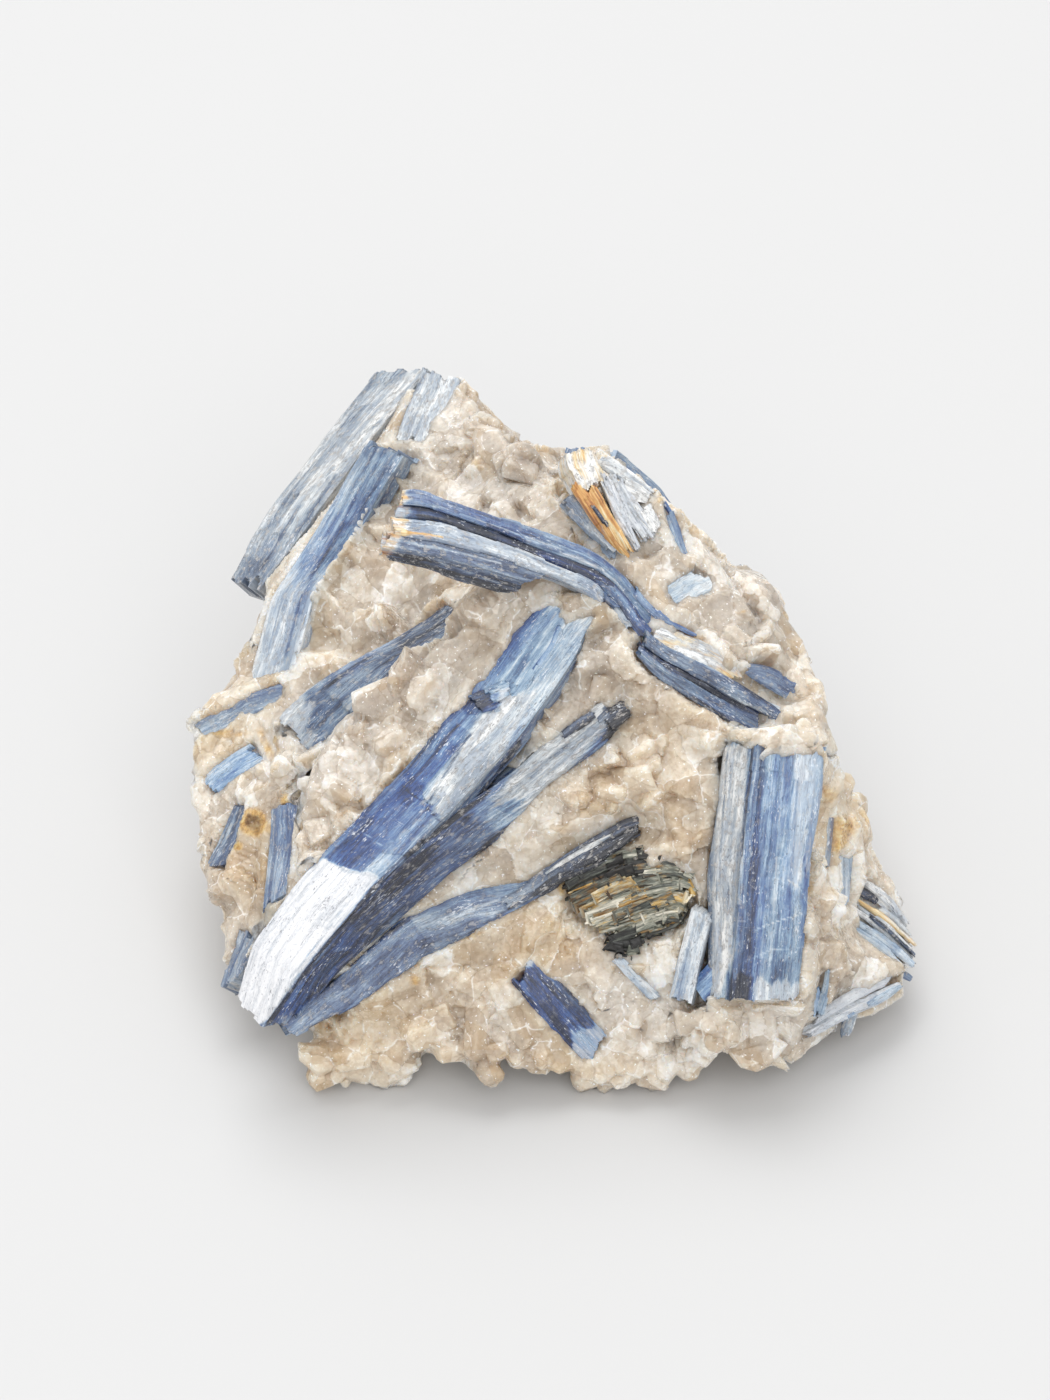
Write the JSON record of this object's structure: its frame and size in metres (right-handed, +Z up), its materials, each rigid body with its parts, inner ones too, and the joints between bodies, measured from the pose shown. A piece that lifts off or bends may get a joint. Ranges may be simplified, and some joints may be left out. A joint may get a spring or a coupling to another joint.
{
  "type": "kyanite blade cluster",
  "caption": "Natural mineral specimen: blue kyanite blades crossing a lump of granular white quartz, resting on a flat broken face.",
  "frame": {"origin": "on the flat broken face that the specimen rests on, under the middle of the lump", "axes": "+Z up; -Y towards the display side with the long front blades; +X to the right seen from that side"},
  "size_m": [0.0643, 0.0602, 0.0422],
  "materials": {
    "quartz": "granular, translucent white to tan",
    "kyanite_blue": "bladed, streaked along the blade, pearly",
    "kyanite_pale": "bladed, pale blue-grey, pearly",
    "kyanite_iron_stained": "fibrous, iron-stained",
    "altered_mica": "fibrous, dark green-black with rust"
  },
  "bodies": {
    "root": {"quartz_matrix": "quartz", "front_blade_sheaf": "kyanite_blue", "bent_blade": "kyanite_blue", "upper_left_blade": "kyanite_blue", "far_left_blade": "kyanite_pale", "left_ledge_blade": "kyanite_blue", "pale_left_blade": "kyanite_pale", "grey_left_blade": "kyanite_pale", "left_lower_blade": "kyanite_blue", "left_outer_blade": "kyanite_blue", "left_tail_blade": "kyanite_blue", "deep_blue_blade": "kyanite_blue", "upright_blade": "kyanite_blue", "small_pale_blade": "kyanite_pale", "blue_chip": "kyanite_blue", "thin_sliver": "kyanite_pale", "rusty_top_blade": "kyanite_iron_stained", "top_edge_blade": "kyanite_blue", "speckled_sliver": "kyanite_blue", "glassy_blade": "kyanite_pale", "right_fragment": "kyanite_blue", "right_foot_blade": "kyanite_blue", "right_edge_blade": "kyanite_pale", "right_grey_blade": "kyanite_pale", "brown_sliver": "kyanite_iron_stained", "small_blue_blade": "kyanite_blue", "altered_book": "altered_mica", "back_long_blade": "kyanite_blue", "back_cross_blade": "kyanite_blue", "back_low_blade": "kyanite_blue", "left_rear_blade": "kyanite_blue", "right_side_blade": "kyanite_blue", "right_rear_blade": "kyanite_blue"}
  },
  "joints": []
}
